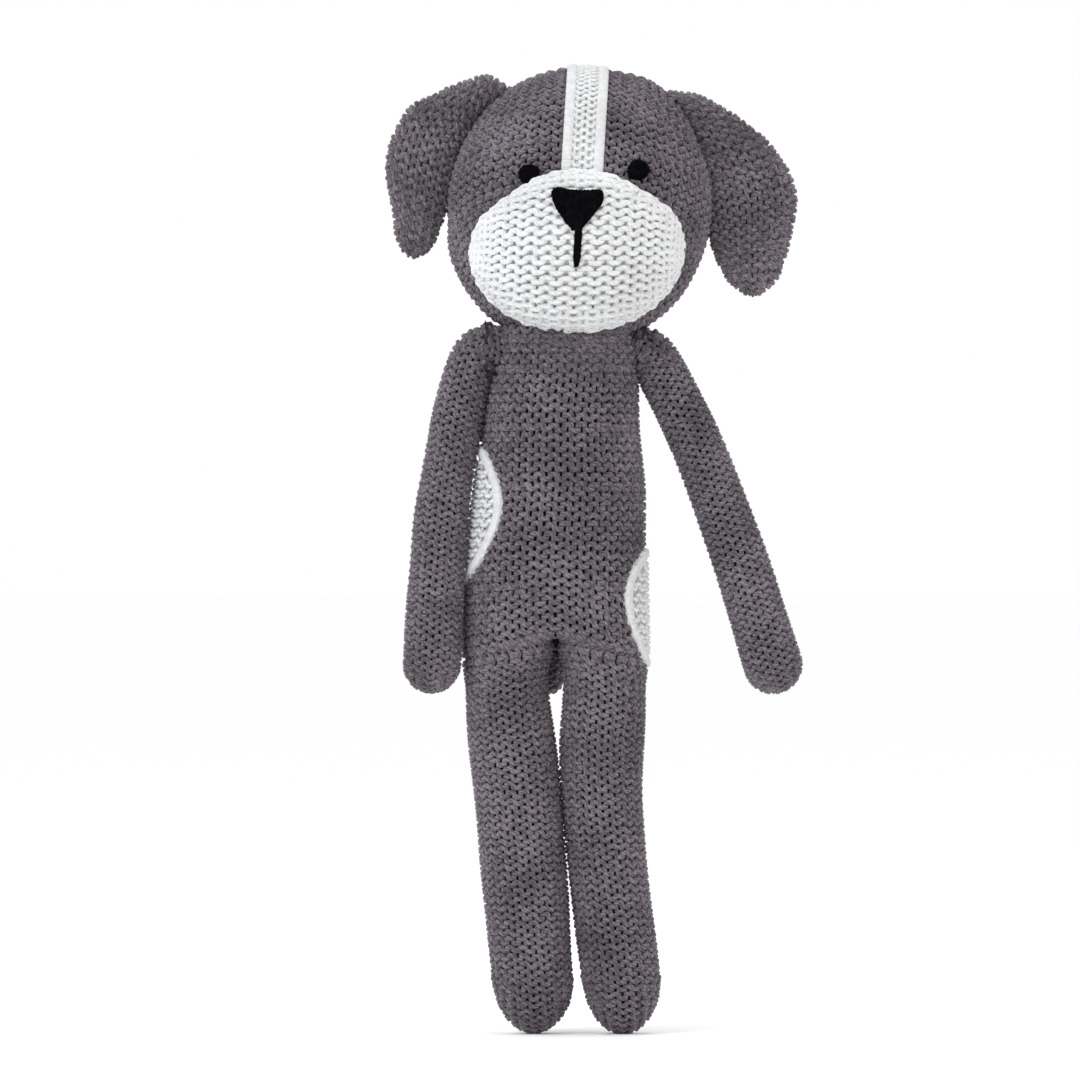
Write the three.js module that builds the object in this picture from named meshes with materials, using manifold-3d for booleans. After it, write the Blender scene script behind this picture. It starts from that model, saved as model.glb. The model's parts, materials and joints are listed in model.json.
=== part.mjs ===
// A knitted plush dog: a long trunk, tube arms and legs, a round head with a white muzzle and blaze,
// two floppy ears, a small tail and two white side patches.
// Millimetres. The dog stands along +Z and faces -Y, so +X is its own left side.
// Each soft part is a knitted cover, open where its filling goes in, round a separate filling.
import * as THREE from 'three';
import Module from 'manifold-3d';
import { mergeVertices } from 'three/addons/utils/BufferGeometryUtils.js';

const wasm = await Module();
wasm.setup();

// ---- driving dimensions ----
const KNIT = 2.6;   // thickness of the knitted cover
const GAP = 0.4;    // room between two pieces that touch
const SOCKET_GAP = 1;   // room round a ball in its socket

// The neck is a ball of filling. The trunk and the head meet it in two cones, which leave room to nod.
const NECK = { x: 1.2, z: 257, ball: 24, far: 34, trunkSlope: 15, headSlope: 41 };
const HEAD = { halfWidth: 52, halfDepth: 48, halfHeight: 55, centre: 68, tilt: 3.5 };
const MUZZLE = { z: 50.7, halfWidth: 43, halfHeight: 32.4, bulge: 9, edge: 1.2, cover: 2.4, standoff: 1 };
const BLAZE = { halfWidth: 4.9, border: 3.3, bottom: 84.2, back: 10, thickness: 1.6 };
const NOSE = { x: -0.8, z: 66.9, halfWidth: 10, halfHeight: 7.6, thickness: 1.5 };
const MOUTH = { halfWidth: 1.2, top: 58.6, bottom: 43.2, thickness: 1.1 };
const EYES = { left: [22.0, 84.0], right: [-21.0, 80.2] };
const EYE = { halfWidth: 4.3, halfHeight: 3.9, thickness: 1.6 };

const EARS = {
  left: { root: [37.9, 113], bend: [63.5, 109], tip: [69.8, 35.5], halfWidth: 16.5 },
  right: { root: [-35.3, 114], bend: [-64.5, 104], tip: [-63.2, 42.3], halfWidth: 15 },
};
const EAR = { halfDepth: 6.5, cover: 2.2, y: -2 };

// Trunk sections, from below the hips to the neck.
const TRUNK = [
  { z: 120, halfWidth: 33.0, halfDepth: 16.5, x: -4.1 },
  { z: 136, halfWidth: 35.4, halfDepth: 19.5, x: -4.1 },
  { z: 152, halfWidth: 36.4, halfDepth: 24.5, x: -4.1 },
  { z: 168, halfWidth: 35.6, halfDepth: 28.0, x: -3.6 },
  { z: 190, halfWidth: 33.0, halfDepth: 29.2, x: -1.4 },
  { z: 215, halfWidth: 31.7, halfDepth: 28.5, x: -0.4 },
  { z: 240, halfWidth: 30.2, halfDepth: 27.0, x: -0.4 },
  { z: 256, halfWidth: 29.3, halfDepth: 26.0, x: 0.0 },
  { z: 268, halfWidth: 27.6, halfDepth: 24.5, x: 0.8 },
];
const BACK_REST = 27.2;   // the trunk's back is pressed flat at this depth, as it lies

const HIP = { z: 136, radius: 16.2, backSwing: 25, opening: 7, swingRoom: 0.5 };
const KNEE = { z: 75, radius: 16.2, bend: 60 };
const TOE = { z: 0, radius: 15.2 };
const LEGS = {
  left: { hipX: 15.2, kneeX: 14.0, toeX: 22.0 },
  right: { hipX: -23.7, kneeX: -19.0, toeX: -12.6 },
};

const SHOULDER = { radius: 10.4, opening: 6, wad: 4.6 };
const ELBOW = { radius: 11, bend: 60 };
const HAND = { radius: 11.6 };
const ARMS = {
  left: { shoulder: [38.6, 0, 264.5], elbow: [59.9, 0, 211.7], hand: [81.2, -2.4, 145.1] },
  right: { shoulder: [-38.6, 0, 264.5], elbow: [-48.0, -4.9, 208.5], hand: [-53.0, -12.7, 145.2] },
};

const TAIL = { root: [-4, 31.9, 166], tip: [-4, 40.5, 137.5], rootRadius: 6.8, opening: 3, tipRadius: 5.8 };
const PATCHES = {
  left: { y: 1, z: 168.4, halfWidth: 20, halfHeight: 22.4 },
  right: { y: 0.5, z: 204.3, halfWidth: 19, halfHeight: 26.1 },
};
const PATCH = { thickness: 1.8, border: 3.4 };

const MITRE_RELIEF = 3.5;   // extra degrees on each face of an elbow or knee
const REACH = 70;           // long enough to cut right through the dog

// How many sides a turned piece has.
const ROUND = 20;   // trunk, head, muzzle
const SLIM = 12;    // limbs, ears, tail

// ---- materials ----
const cloth = (color) => new THREE.MeshStandardMaterial({ color, roughness: 0.95, metalness: 0 });
const GREY_KNIT = cloth(0x6a6369);
const WHITE_KNIT = cloth(0xe9e7e8);
const WHITE_THREAD = cloth(0xf2f1f2);
const FILLING = cloth(0xf4f2ec);
const BLACK_THREAD = new THREE.MeshStandardMaterial({ color: 0x151416, roughness: 0.6, metalness: 0 });

// ---- helpers ----
const { degToRad, radToDeg, lerp } = THREE.MathUtils;
const slope = (degrees) => Math.tan(degToRad(degrees));

// Profile points [r, z] on an arc about (0, centre); angles in degrees, up from the horizontal.
function arc(centre, radius, from, to, steps) {
  return Array.from({ length: steps + 1 }, (_, i) => {
    const angle = degToRad(lerp(from, to, i / steps));
    return [Math.max(0, radius * Math.cos(angle)), centre + radius * Math.sin(angle)];
  });
}

// The angle at which an arc of this radius reaches a distance r from the axis.
const angleAt = (r, radius) => radToDeg(Math.acos(r / radius));

// A three.js surface as a manifold solid, with its faces turned outwards.
function solid(geometry) {
  const bare = geometry.clone();
  bare.deleteAttribute('normal');
  bare.deleteAttribute('uv');
  const merged = mergeVertices(bare, 1e-3);
  const vertProperties = merged.getAttribute('position').array;
  const triVerts = new Uint32Array(merged.index.array);
  const made = new wasm.Manifold(new wasm.Mesh({ numProp: 3, vertProperties, triVerts }));
  if (made.volume() > 0) return made;
  for (let i = 0; i < triVerts.length; i += 3) {
    [triVerts[i + 1], triVerts[i + 2]] = [triVerts[i + 2], triVerts[i + 1]];
  }
  return new wasm.Manifold(new wasm.Mesh({ numProp: 3, vertProperties, triVerts }));
}

// A body turned about Z from [r, z] points; map moves each vertex to its final place.
function turned(points, segments, map) {
  const geometry = new THREE.LatheGeometry(points.map((p) => new THREE.Vector2(...p)), segments);
  geometry.rotateX(Math.PI / 2);
  const position = geometry.getAttribute('position');
  for (let i = 0; map && i < position.count; i += 1) {
    position.setXYZ(i, ...map(position.getX(i), position.getY(i), position.getZ(i)));
  }
  return solid(geometry);
}

function ball([x, y, z], radius, segments) {
  const geometry = new THREE.SphereGeometry(radius, segments, segments / 2);
  geometry.translate(x, y, z);
  return solid(geometry);
}

// A prism of an outline drawn as seen from the front, running forwards (-Y) from the plane y = 0.
function frontPrism(outline) {
  const geometry = new THREE.ExtrudeGeometry(outline, { depth: REACH, bevelEnabled: false, curveSegments: 8 });
  geometry.rotateX(Math.PI / 2);
  return solid(geometry);
}

// A prism of an outline drawn in the (y, z) plane, running along +X from the plane x = 0.
function sidePrism(outline, depth) {
  const geometry = new THREE.ExtrudeGeometry(outline, { depth, bevelEnabled: false, curveSegments: 8 });
  const [x, y, z] = [[0, 1, 0], [0, 0, 1], [1, 0, 0]].map((v) => new THREE.Vector3(...v));
  geometry.applyMatrix4(new THREE.Matrix4().makeBasis(x, y, z));
  return solid(geometry);
}

function oval(x, y, halfWidth, halfHeight) {
  const shape = new THREE.Shape();
  shape.absellipse(x, y, halfWidth, halfHeight, 0, 2 * Math.PI, false);
  return shape;
}

function rectangle(x0, y0, x1, y1) {
  return new THREE.Shape([[x0, y0], [x1, y0], [x1, y1], [x0, y1]].map((p) => new THREE.Vector2(...p)));
}

// The largest part of a solid, for when a cut leaves slivers beside it.
const largest = (shape) => shape.decompose().reduce((a, b) => (b.volume() > a.volume() ? b : a));

function addPiece(parent, name, shape, material) {
  const mesh = largest(shape).getMesh();
  const geometry = new THREE.BufferGeometry();
  geometry.setAttribute('position', new THREE.BufferAttribute(mesh.vertProperties, 3));
  geometry.setIndex(new THREE.BufferAttribute(mesh.triVerts, 1));
  geometry.computeVertexNormals();
  const piece = new THREE.Mesh(geometry, material);
  piece.name = name;
  parent.add(piece);
}

// ---- trunk ----
function trunkSection(z) {
  const above = TRUNK.findIndex((section) => z < section.z);
  const i = above < 0 ? TRUNK.length - 1 : Math.max(1, above);
  const [from, to] = [TRUNK[i - 1], TRUNK[i]];
  const t = (z - from.z) / (to.z - from.z);
  return { shape: lerp(from.halfDepth, to.halfDepth, t) / lerp(from.halfWidth, to.halfWidth, t),
    x: lerp(from.x, to.x, t) };
}

const trunkWall = (inset) => TRUNK.map((section) => [section.halfWidth - inset, section.z]);

// A lathe of the trunk's half widths is pressed onto its oval sections and flat back.
function pressed(profile, inset) {
  return turned(profile, ROUND, (x, y, z) => {
    const section = trunkSection(z);
    return [x + section.x, Math.min(BACK_REST - Math.max(0, inset), y * section.shape), z];
  });
}

const trunkBody = (inset) => pressed([[0, TRUNK[0].z], ...trunkWall(inset), [0, TRUNK.at(-1).z]], inset);

// All that the thighs sweep: a round saddle over the hip axis, open to the front and below.
function hipSaddle() {
  const radius = HIP.radius + HIP.swingRoom;
  const back = degToRad(HIP.backSwing);
  const outline = new THREE.Shape();
  outline.moveTo(-REACH, radius);
  outline.lineTo(0, radius);
  outline.absarc(0, 0, radius, Math.PI / 2, back, true);
  outline.lineTo(radius * Math.cos(back) + REACH * Math.sin(back), radius * Math.sin(back) - REACH * Math.cos(back));
  outline.lineTo(-REACH, -REACH);
  return sidePrism(outline, 2 * REACH).translate([-REACH, 0, HIP.z]);
}

// The room above or below a cone about Z with its point at the neck's centre, as far out as `far`.
function neckCone(degrees, above, far) {
  const end = above ? REACH : -REACH;
  return turned([[0, 0], [far, far * slope(degrees)], [far, end], [0, end]], ROUND);
}

function addTrunk(parent) {
  const neck = [NECK.x, 0, NECK.z];
  const cuts = hipSaddle()
    .add(neckCone(NECK.trunkSlope, true, REACH).translate(neck))
    .add(ball(neck, NECK.ball + SOCKET_GAP, ROUND))
    .add(ball(ARMS.left.shoulder, SHOULDER.radius + SOCKET_GAP, SLIM))
    .add(ball(ARMS.right.shoulder, SHOULDER.radius + SOCKET_GAP, SLIM))
    .add(ball(TAIL.root, TAIL.rootRadius + SOCKET_GAP, SLIM));
  const legPassage = trunkBody(KNIT).translate([0, 0, TRUNK[0].z - HIP.z]);
  const cover = trunkBody(0).subtract(trunkBody(KNIT)).subtract(legPassage).subtract(cuts);
  addPiece(parent, 'torso_cover', cover, GREY_KNIT);
  addPiece(parent, 'torso_stuffing', trunkBody(KNIT + GAP).subtract(cuts), FILLING);
  addPiece(parent, 'neck_stuffing', ball(neck, NECK.ball, SLIM), FILLING);
}

// An oval patch of knit on the trunk's side, and the stitched border round it.
function addPatch(parent, side) {
  const { y, z, halfWidth, halfHeight } = PATCHES[side];
  const layer = trunkBody(-GAP - PATCH.thickness).subtract(trunkBody(-GAP)).subtract(hipSaddle());
  const sideways = (shape) => sidePrism(shape, REACH).translate([side === 'left' ? 0 : -REACH, 0, 0]);
  const inner = oval(y, z, halfWidth - PATCH.border, halfHeight - PATCH.border);
  const hole = sideways(oval(y, z, halfWidth - PATCH.border + GAP, halfHeight - PATCH.border + GAP));
  const rim = sideways(oval(y, z, halfWidth, halfHeight)).subtract(hole);
  addPiece(parent, `hip_patch_${side}`, layer.intersect(sideways(inner)), WHITE_KNIT);
  addPiece(parent, `hip_patch_border_${side}`, layer.intersect(rim), WHITE_THREAD);
}

// ---- ears: leaves along a curve, open at the root ----
const FULLEST = 0.42;   // where along its length a leaf is fullest

function leafFullness(t) {
  if (t < FULLEST) return lerp(0.62, 1, Math.sin(Math.PI / 2 * Math.max(0, t) / FULLEST));
  return Math.sqrt(Math.max(0, 1 - ((t - FULLEST) / (1 - FULLEST)) ** 2.6));
}

// A leaf lies in the plane of its curve; a start below 0 runs it on past the root.
function leaf(curve, halfWidth, start, inset) {
  const end = 1 - inset / curve.getLength();
  const stations = [start, 0.01, 0.2, FULLEST, 0.65, 0.84, 0.95].map((t) => t * end);
  const profile = [[0, start * end], ...stations.map((t) => [leafFullness(t / end), t]), [0, end]];
  return turned(profile, SLIM, (x, y, t) => {
    const inside = THREE.MathUtils.clamp(t, 0, 1);
    const tangent = curve.getTangent(inside);
    const across = new THREE.Vector3(tangent.z, 0, -tangent.x).normalize();
    return curve.getPoint(inside)
      .addScaledVector(tangent, (t - inside) * curve.getLength())
      .addScaledVector(across, x * (halfWidth - inset))
      .add(new THREE.Vector3(0, y * (EAR.halfDepth - inset), 0))
      .toArray();
  });
}

function addEar(parent, side) {
  const { root, bend, tip, halfWidth } = EARS[side];
  const corners = [root, bend, tip].map(([x, z]) => new THREE.Vector3(x, EAR.y, z));
  const curve = new THREE.QuadraticBezierCurve3(...corners);
  const outer = leaf(curve, halfWidth, 0, 0);
  const bore = leaf(curve, halfWidth, -0.3, EAR.cover);
  const filling = leaf(curve, halfWidth, 0, EAR.cover + GAP);
  addPiece(parent, `ear_${side}_cover`, outer.subtract(bore).subtract(headBody(GAP)), GREY_KNIT);
  addPiece(parent, `ear_${side}_padding`, filling.subtract(headBody(GAP)), FILLING);
}

// ---- head, in its own frame: the origin is the neck's centre ----
function headBody(grow) {
  const profile = arc(0, 1, -90, 90, 10).map(([across, up]) => [
    (HEAD.halfWidth + grow) * across, HEAD.centre + (HEAD.halfHeight + grow) * up]);
  const squeeze = (HEAD.halfDepth + grow) / (HEAD.halfWidth + grow);
  return turned(profile, ROUND, (x, y, z) => [x, y * squeeze, z]);
}

// Where the head's front lies at a place on the face.
function faceY(x, z) {
  const across = x / HEAD.halfWidth;
  const up = (z - HEAD.centre) / HEAD.halfHeight;
  return -HEAD.halfDepth * Math.sqrt(1 - across * across - up * up);
}

const muzzleBulge = (r) => MUZZLE.bulge * Math.max(0, 1 - r * r) ** 0.62;

// A lens on the muzzle's oval: `lift` stands it proud of the bulge, `depth` is its back's height over the face.
function muzzleLens(spread, lift, depth) {
  const rings = Array.from({ length: 6 }, (_, i) => Math.sin(Math.PI / 2 * i / 5));
  const profile = [...rings.map((r) => [r, 0]), ...rings.slice(0, -1).reverse().map((r) => [r, 1])];
  return turned(profile, ROUND, (x, y, layer) => {
    const [px, pz] = [x * MUZZLE.halfWidth * spread, MUZZLE.z + y * MUZZLE.halfHeight * spread];
    const height = layer < 0.5 ? muzzleBulge(spread * Math.hypot(x, y)) + lift : depth;
    return [px, faceY(px, pz) - height, pz];
  });
}

function noseOutline() {
  const { x, z, halfWidth: w, halfHeight: h } = NOSE;
  const outline = new THREE.Shape();
  outline.moveTo(x, z - h);
  outline.bezierCurveTo(x + 0.45 * w, z - h, x + w, z, x + w, z + 0.62 * h);
  outline.bezierCurveTo(x + w, z + h, x + 0.7 * w, z + h, x, z + h);
  outline.bezierCurveTo(x - 0.7 * w, z + h, x - w, z + h, x - w, z + 0.62 * h);
  outline.bezierCurveTo(x - w, z, x - 0.45 * w, z - h, x, z - h);
  return outline;
}

function addHead(parent) {
  const head = new THREE.Group();
  head.position.set(NECK.x, 0, NECK.z);
  head.rotation.y = degToRad(HEAD.tilt);
  parent.add(head);

  const neckRoom = neckCone(NECK.headSlope, false, NECK.far).add(ball([0, 0, 0], NECK.ball + SOCKET_GAP, ROUND));
  addPiece(head, 'head_cover', headBody(0).subtract(headBody(-KNIT)).subtract(neckRoom), GREY_KNIT);
  addPiece(head, 'head_stuffing', headBody(-KNIT - GAP).subtract(neckRoom), FILLING);

  const proud = MUZZLE.edge + MUZZLE.standoff;
  const muzzle = muzzleLens(1, proud, MUZZLE.standoff).subtract(neckRoom);
  const muzzleBore = muzzleLens(0.93, proud - MUZZLE.cover, -GAP);
  addPiece(head, 'muzzle_cover', muzzle.subtract(muzzleBore), WHITE_KNIT);
  const muzzleFilling = muzzleLens(0.9, proud - MUZZLE.cover - GAP, MUZZLE.standoff);
  addPiece(head, 'muzzle_stuffing', muzzleFilling.subtract(neckRoom), FILLING);

  const onMuzzle = (thickness) => muzzleLens(1, proud + GAP + thickness, 0).subtract(muzzleLens(1.02, proud + GAP, -GAP));
  addPiece(head, 'nose', onMuzzle(NOSE.thickness).intersect(frontPrism(noseOutline())), BLACK_THREAD);
  const mouthBar = rectangle(-MOUTH.halfWidth, MOUTH.bottom, MOUTH.halfWidth, MOUTH.top);
  addPiece(head, 'mouth', onMuzzle(MOUTH.thickness).intersect(frontPrism(mouthBar)), BLACK_THREAD);

  const muzzleRoom = muzzleLens(1.01, proud + GAP, -KNIT);
  const onFace = (thickness) => headBody(GAP + thickness).subtract(headBody(GAP)).subtract(muzzleRoom);
  for (const [side, [x, z]] of Object.entries(EYES)) {
    const disc = frontPrism(oval(x, z, EYE.halfWidth, EYE.halfHeight));
    addPiece(head, `eye_${side}`, onFace(EYE.thickness).intersect(disc), BLACK_THREAD);
  }

  const top = HEAD.centre + REACH;
  const strip = (from, to) => frontPrism(rectangle(from, BLAZE.bottom, to, top)).translate([0, BLAZE.back, 0]);
  const edge = BLAZE.halfWidth + GAP;
  const layer = onFace(BLAZE.thickness);
  addPiece(head, 'blaze', layer.intersect(strip(-BLAZE.halfWidth, BLAZE.halfWidth)), WHITE_KNIT);
  addPiece(head, 'blaze_border_left', layer.intersect(strip(edge, edge + BLAZE.border)), WHITE_THREAD);
  addPiece(head, 'blaze_border_right', layer.intersect(strip(-edge - BLAZE.border, -edge)), WHITE_THREAD);

  addEar(head, 'left');
  addEar(head, 'right');
}

// ---- limbs, each segment in its own frame: the origin is its upper joint and it hangs along -Z ----
// The upper segment starts and ends in a ball about its joints, under a mitred edge.
function addUpperLimb(parent, name, start, end, length, bend) {
  const inner = KNIT;
  const mitre = bend / 2 + MITRE_RELIEF;
  const cover = [
    ...arc(-length, end.radius, -90, mitre, 5),
    [end.radius, -length + end.radius * slope(mitre)],
    ...arc(0, start.radius, 0, angleAt(start.opening, start.radius), 3),
    ...arc(0, start.radius - inner, angleAt(start.opening, start.radius - inner), 0, 2),
    ...arc(-length, end.radius - inner, 0, -90, 3),
  ];
  addPiece(parent, `${name}_cover`, turned(cover, SLIM), GREY_KNIT);

  const bottom = arc(-length, end.radius - inner - GAP, -90, 0, 3);
  const reach = start.radius - inner - GAP;
  const top = start.wad
    ? [[reach, 0], [reach, 1], ...arc(0, start.wad + SOCKET_GAP, 0, -90, 3)]
    : arc(0, reach, 0, 90, 3);
  addPiece(parent, `${name}_stuffing`, turned([...bottom, ...top], SLIM), FILLING);
}

// The lower segment starts in a socket round the upper one's ball and ends in a round tip.
function addLowerLimb(parent, name, start, tipRadius, length, bend) {
  const socket = start.radius + SOCKET_GAP;
  const mitre = bend / 2 + MITRE_RELIEF;
  const cover = [
    ...arc(-length, tipRadius, -90, 0, 4),
    [start.radius, -start.radius * slope(mitre)],
    ...arc(0, socket, -mitre, -angleAt(start.radius - KNIT, socket), 2),
    ...arc(-length, tipRadius - KNIT, 0, -90, 3),
  ];
  addPiece(parent, `${name}_cover`, turned(cover, SLIM), GREY_KNIT);

  const wall = start.radius - KNIT - GAP;
  const filling = [
    ...arc(-length, tipRadius - KNIT - GAP, -90, 0, 3),
    ...arc(0, socket, -angleAt(wall, socket), -90, 3),
  ];
  addPiece(parent, `${name}_stuffing`, turned(filling, SLIM), FILLING);
}

// A group at one joint whose -Z points at the next, and the distance between them.
function limbFrame(parent, from, to) {
  const [start, end] = [new THREE.Vector3(...from), new THREE.Vector3(...to)];
  const frame = new THREE.Group();
  frame.position.copy(start);
  frame.quaternion.setFromUnitVectors(new THREE.Vector3(0, 0, -1), end.clone().sub(start).normalize());
  parent.add(frame);
  return [frame, start.distanceTo(end)];
}

function addLimb(parent, names, points, sizes, bend) {
  const [upper, upperLength] = limbFrame(parent, points[0], points[1]);
  addUpperLimb(upper, names[0], sizes[0], sizes[1], upperLength, bend);
  const [lower, lowerLength] = limbFrame(parent, points[1], points[2]);
  addLowerLimb(lower, names[1], sizes[1], sizes[2].radius, lowerLength, bend);
}

function addArm(parent, side) {
  const { shoulder, elbow, hand } = ARMS[side];
  const names = [`arm_${side}_upper`, `arm_${side}_lower`];
  addLimb(parent, names, [shoulder, elbow, hand], [SHOULDER, ELBOW, HAND], ELBOW.bend);
  addPiece(parent, `shoulder_${side}_wad`, ball(shoulder, SHOULDER.wad, 8), FILLING);
}

// The tail is one tube with a ball at its root and a round tip.
function addTail(parent) {
  const [frame, length] = limbFrame(parent, TAIL.root, TAIL.tip);
  const { rootRadius, tipRadius, opening } = TAIL;
  const cover = [
    ...arc(-length, tipRadius, -90, 0, 3),
    ...arc(0, rootRadius, 0, angleAt(opening, rootRadius), 2),
    ...arc(0, rootRadius - KNIT, angleAt(opening, rootRadius - KNIT), 0, 2),
    ...arc(-length, tipRadius - KNIT, 0, -90, 2),
  ];
  addPiece(frame, 'tail_cover', turned(cover, SLIM), GREY_KNIT);
  const inset = KNIT + GAP;
  const filling = [...arc(-length, tipRadius - inset, -90, 0, 2), ...arc(0, rootRadius - inset, 0, 90, 2)];
  addPiece(frame, 'tail_stuffing', turned(filling, SLIM), FILLING);
}

function addLeg(parent, side) {
  const { hipX, kneeX, toeX } = LEGS[side];
  const points = [[hipX, 0, HIP.z], [kneeX, 0, KNEE.z], [toeX, 0, TOE.z + TOE.radius]];
  addLimb(parent, [`leg_${side}_upper`, `leg_${side}_lower`], points, [HIP, KNEE, TOE], KNEE.bend);
}

// ---- the dog, moved so that its origin is the bottom centre of its box ----
const dog = new THREE.Group();
const body = new THREE.Group();
dog.add(body);
addTrunk(body);
addPatch(body, 'left');
addPatch(body, 'right');
addTail(body);
addHead(body);
for (const side of ['left', 'right']) {
  addArm(body, side);
  addLeg(body, side);
}
dog.updateMatrixWorld(true);
const box = new THREE.Box3().setFromObject(dog, true);
const centre = box.getCenter(new THREE.Vector3());
body.position.set(-centre.x, -centre.y, -box.min.z);

export default dog;
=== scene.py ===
"""A knitted plush dog, with real yarn loops laid over stuffed forms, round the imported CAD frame."""
import json
import math

import bpy
import numpy as np
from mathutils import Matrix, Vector


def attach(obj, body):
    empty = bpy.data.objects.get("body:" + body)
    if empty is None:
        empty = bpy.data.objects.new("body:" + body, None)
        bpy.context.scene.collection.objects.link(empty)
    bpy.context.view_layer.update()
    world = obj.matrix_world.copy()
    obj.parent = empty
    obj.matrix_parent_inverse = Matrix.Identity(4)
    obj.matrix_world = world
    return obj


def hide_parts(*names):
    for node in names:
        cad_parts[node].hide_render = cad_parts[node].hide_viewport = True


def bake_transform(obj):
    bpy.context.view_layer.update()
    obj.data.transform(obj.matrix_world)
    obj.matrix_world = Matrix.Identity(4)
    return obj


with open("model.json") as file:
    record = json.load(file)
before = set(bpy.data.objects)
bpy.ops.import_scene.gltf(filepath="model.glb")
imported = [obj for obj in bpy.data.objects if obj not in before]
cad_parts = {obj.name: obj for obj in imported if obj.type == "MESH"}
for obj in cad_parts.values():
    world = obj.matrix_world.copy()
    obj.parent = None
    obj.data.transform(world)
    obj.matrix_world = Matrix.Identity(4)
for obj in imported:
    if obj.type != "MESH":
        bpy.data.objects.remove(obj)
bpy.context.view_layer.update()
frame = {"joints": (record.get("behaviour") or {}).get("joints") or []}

MM = 0.001

# ---------------------------------------------------------------- places, in millimetres
NECK = next(np.array(j["pos_m"]) / MM for j in frame["joints"] if j["name"] == "neck_turn")
SHIFT = NECK - np.array([1.2, 0.0, 257.0])  # from the CAD source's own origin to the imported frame
HEAD_TILT = math.radians(3.5)
HEAD_HALF = np.array([52.0, 48.0, 55.0])
HEAD_CENTRE = 68.0  # above the neck, along the tilted head
ROW_TILT = math.radians(24)  # the head's rows gather behind the crown

MUZZLE_Z, MUZZLE_W, MUZZLE_H, MUZZLE_BULGE = 49.3, 43.0, 32.4, 9.0
MUZZLE_PROUD = 2.2
MUZZLE_TURN, MUZZLE_EGG = math.radians(6.0), 0.17  # sewn on a little askew, and narrower at its top
MUZZLE_MID = 49.0  # the height where its rows run level
MUZZLE_DEPTH, MUZZLE_RIM = 0.75, 0.975  # its loops' depth, and the share of its size that they reach
MUZZLE_COLUMNS = 10  # stitches to each side of its middle
NOSE_X, NOSE_Z, NOSE_W, NOSE_H = -1.2, 64.8, 9.9, 7.9
MOUTH_TOP, MOUTH_BOTTOM, MOUTH_W = 59.6, 43.2, 1.25
EYES = {"left": (21.6, 82.1), "right": (-20.2, 77.7)}
EYE_W, EYE_H = 3.9, 3.5
BLAZE_W, BLAZE_BORDER = 4.6, 3.2  # half the knit's width, and a whole border's
BLAZE_FROM, BLAZE_TO = math.radians(12), math.radians(102)
CHEEK, CROWN = 2.4, 2.6  # how far the filling swells the head in two places

TRUNK = np.array([  # z, half width, half depth, x
    [120, 33.0, 16.5, -4.1], [136, 35.4, 19.5, -4.1], [152, 36.6, 24.5, -4.1], [168, 36.7, 28.0, -4.6],
    [190, 35.7, 29.2, -4.0], [215, 33.6, 28.5, -2.3], [240, 31.0, 27.0, -2.2], [256, 29.4, 26.0, -1.1],
    [268, 28.3, 24.5, 0.2], [282, 25.0, 22.5, 1.0]])
TRUNK_TOP, CROTCH_Z, VALLEY_TOP = 284, 149.0, 182.0
CROTCH_X = -4.0
ROOF = 7.0  # the rows arch this much over the crotch
OVERRUN = 5.0  # each skin's rings go on this far past the crotch
SEAM = 2.0  # from the crotch to the nearest row of the trunk or a leg
LOBE_X, LOBE_W, LOBE_D = 18.2, 18.0, 23.0  # where a leg leaves the trunk: how far out, and half its sizes
LEG_SPLIT = 100.0  # where the thigh piece hands over to the shin piece
PIECE_OVERLAP = 8  # how far their backing forms run into each other
SLOPE_Z, DEEPEN_Z, PART_Z = 70, 118, 138  # where a leg starts to slope its rows, deepen and part
LEG_TABLE = np.array([  # z, x of the left leg, its radius, x of the right leg, its radius
    [15, 22.3, 15.6, -12.6, 16.0], [21, 21.6, 15.6, -13.1, 16.0], [29, 20.6, 15.7, -13.7, 16.2],
    [37, 19.6, 15.8, -14.7, 16.4], [53, 18.1, 15.7, -15.9, 16.8], [68, 16.1, 15.8, -16.9, 17.1],
    [76, 15.3, 15.8, -17.5, 17.1], [92, 14.1, 16.0, -18.8, 17.2], [105, 13.6, 16.5, -19.9, 17.2],
    [115, 13.8, 16.9, -21.0, 17.2], [123, 14.6, 16.4, -22.2, 16.7], [131, 15.1, 16.2, -23.0, 16.2],
    [150, 15.4, 16.2, -23.4, 16.2]])
LEG_JOINTS = {"left": (15.2, 14.0), "right": (-23.7, -19.0)}  # x at the hip and the knee
TOE_H = 24.0
NECK_X, NECK_R, NECK_TOP, NECK_ROUND = 1.2, 25.5, 287, 270
ARMS = {
    "left": ((36.2, 0, 262.3), (59.4, 0, 211.7), (81.2, -2.4, 145.1)),
    "right": ((-37.4, -2.5, 262.3), (-48.0, -7.5, 208.5), (-52.8, -13.7, 145.2)),
}
WAD, WAD_R = (36.9, 262.9), 8.2  # each shoulder ball: how far out and up, and its radius
ARM_R = (8.9, 10.0, 10.7, 11.5, 11.5)  # at these shares of its length
ARM_STOPS = (0, 0.17, 0.5, 0.85, 1.0)
ARM_ROOT = {"left": (17.0, 10.4), "right": (17.0, 12.4)}  # in and up from the shoulder, under the head
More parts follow.
